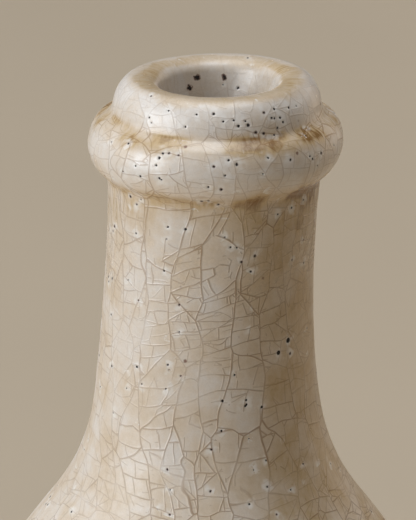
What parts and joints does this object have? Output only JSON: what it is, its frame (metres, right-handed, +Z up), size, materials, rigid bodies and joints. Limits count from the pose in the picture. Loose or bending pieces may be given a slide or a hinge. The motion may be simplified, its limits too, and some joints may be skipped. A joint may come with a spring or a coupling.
{
  "type": "stoneware bottle vase",
  "caption": "Pear-shaped bottle vase with a slim, slightly leaning neck, a rolled lip over a round collar and a bare clay foot ring.",
  "frame": {"origin": "middle of the foot's resting face, which is the bottom centre of the bounding box", "axes": "+Z up along the wheel axis of the body; the neck leans a little towards +X, and -Y faces the viewer"},
  "size_m": [0.132, 0.132, 0.245],
  "materials": {
    "crackle_glaze": "glossy cream crackle glaze with dark pinholes",
    "bare_stoneware": "unglazed fired clay"
  },
  "bodies": {
    "root": {"foot_ring": "bare_stoneware", "lower_body": "crackle_glaze", "upper_body": "crackle_glaze", "neck": "crackle_glaze", "collar_ring": "crackle_glaze", "lip_ring": "crackle_glaze"}
  },
  "joints": []
}
